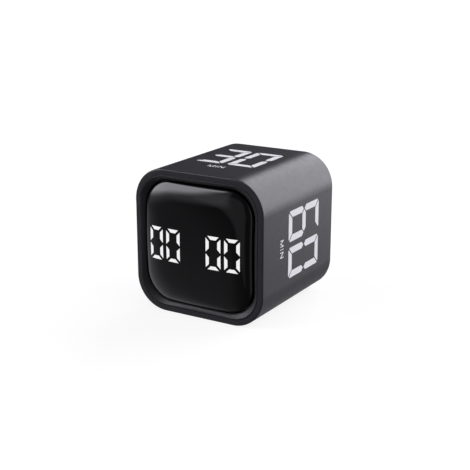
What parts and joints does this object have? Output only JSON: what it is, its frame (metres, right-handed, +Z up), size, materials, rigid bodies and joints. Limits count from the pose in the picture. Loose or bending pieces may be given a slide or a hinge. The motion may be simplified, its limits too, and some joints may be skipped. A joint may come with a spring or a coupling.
{
  "type": "kitchen timer",
  "caption": "Rounded cube countdown timer with a domed black digital display in front, minutes printed on its sides, and keys, slide switch, sound holes and charging port behind.",
  "frame": {"origin": "middle of the bottom of the whole object, on the surface it stands on", "axes": "+Z up, the display faces -Y, +X to the right of someone who reads the display"},
  "size_m": [0.06, 0.0627, 0.06],
  "materials": {
    "bezel_plastic": "satin",
    "black_screw": "black oxide",
    "black_wire": "satin",
    "buzzer_plastic": "matt",
    "capacitor_body": "matt",
    "cell_foil": "satin",
    "chassis_plastic": "matt",
    "chip_resin": "matt",
    "circuit_board": "solder mask",
    "cover_plastic": "satin, fine grain",
    "crystal_can": "satin",
    "diffuser": "matt",
    "foam": "matt",
    "foam_tape": "matt",
    "guard_board": "solder mask",
    "housing_plastic": "satin, fine grain",
    "key_plastic": "satin",
    "knob_plastic": "satin",
    "led_package": "gloss",
    "lens_black": "high gloss",
    "light_block_plastic": "matt",
    "light_pipe_clear": "clear, frosted end",
    "plunger_plastic": "matt",
    "port_steel": "satin",
    "port_tongue": "matt",
    "red_wire": "satin",
    "resistor_body": "matt",
    "ribbon": "gloss",
    "screw_steel": "zinc plated",
    "socket_plastic": "matt",
    "switch_dome_steel": "satin",
    "switch_plastic": "matt"
  },
  "bodies": {
    "timer_body": {"battery_cell": "cell_foil", "battery_guard_board": "guard_board", "battery_lead_negative": "black_wire", "battery_lead_positive": "red_wire", "battery_plug": "socket_plastic", "battery_socket": "socket_plastic", "battery_tape": "foam_tape", "buzzer": "buzzer_plastic", "buzzer_gasket": "foam", "capacitors": "capacitor_body", "charge_led": "led_package", "charger_chip": "chip_resin", "chassis_screws": "screw_steel", "controller_chip": "chip_resin", "crystal": "crystal_can", "display_board": "circuit_board", "display_driver_chip": "chip_resin", "display_leds": "led_package", "display_lens": "lens_black", "display_screws": "screw_steel", "display_socket": "socket_plastic", "front_bezel": "bezel_plastic", "housing": "housing_plastic", "inner_chassis": "chassis_plastic", "lens_gasket": "foam", "light_block": "light_block_plastic", "light_pipe": "light_pipe_clear", "main_board": "circuit_board", "main_board_screws": "screw_steel", "main_socket": "socket_plastic", "minute_switch_body": "switch_plastic", "minute_switch_dome": "switch_dome_steel", "rear_cover": "cover_plastic", "rear_cover_screws": "black_screw", "resistors": "resistor_body", "ribbon_cable": "ribbon", "second_switch_body": "switch_plastic", "second_switch_dome": "switch_dome_steel", "segment_windows": "diffuser", "start_switch_body": "switch_plastic", "start_switch_dome": "switch_dome_steel", "tilt_sensor_chip": "chip_resin", "usb_shell": "port_steel", "usb_tongue": "port_tongue", "volume_switch_body": "port_steel"},
    "minute_key": {"minute_key_cap": "key_plastic", "minute_plunger": "plunger_plastic"},
    "second_key": {"second_key_cap": "key_plastic", "second_plunger": "plunger_plastic"},
    "start_key": {"start_key_cap": "key_plastic", "start_plunger": "plunger_plastic"},
    "volume_slider": {"volume_knob": "knob_plastic", "volume_actuator": "plunger_plastic"}
  },
  "joints": [
    {"name": "minute_key_press", "type": "slide", "parent": "timer_body", "child": "minute_key", "axis": [0, -1, 0], "range_m": [0, 0.0004], "stiffness_N_per_m": 1500, "springref_m": -0.0002, "deforming": ["minute_switch_dome"]},
    {"name": "second_key_press", "type": "slide", "parent": "timer_body", "child": "second_key", "axis": [0, -1, 0], "range_m": [0, 0.0004], "stiffness_N_per_m": 1500, "springref_m": -0.0002, "deforming": ["second_switch_dome"]},
    {"name": "start_key_press", "type": "slide", "parent": "timer_body", "child": "start_key", "axis": [0, -1, 0], "range_m": [0, 0.0004], "stiffness_N_per_m": 1500, "springref_m": -0.0002, "deforming": ["start_switch_dome"]},
    {"name": "volume_slide", "type": "slide", "parent": "timer_body", "child": "volume_slider", "axis": [1, 0, 0], "range_m": [-0.002, 0.002]}
  ]
}
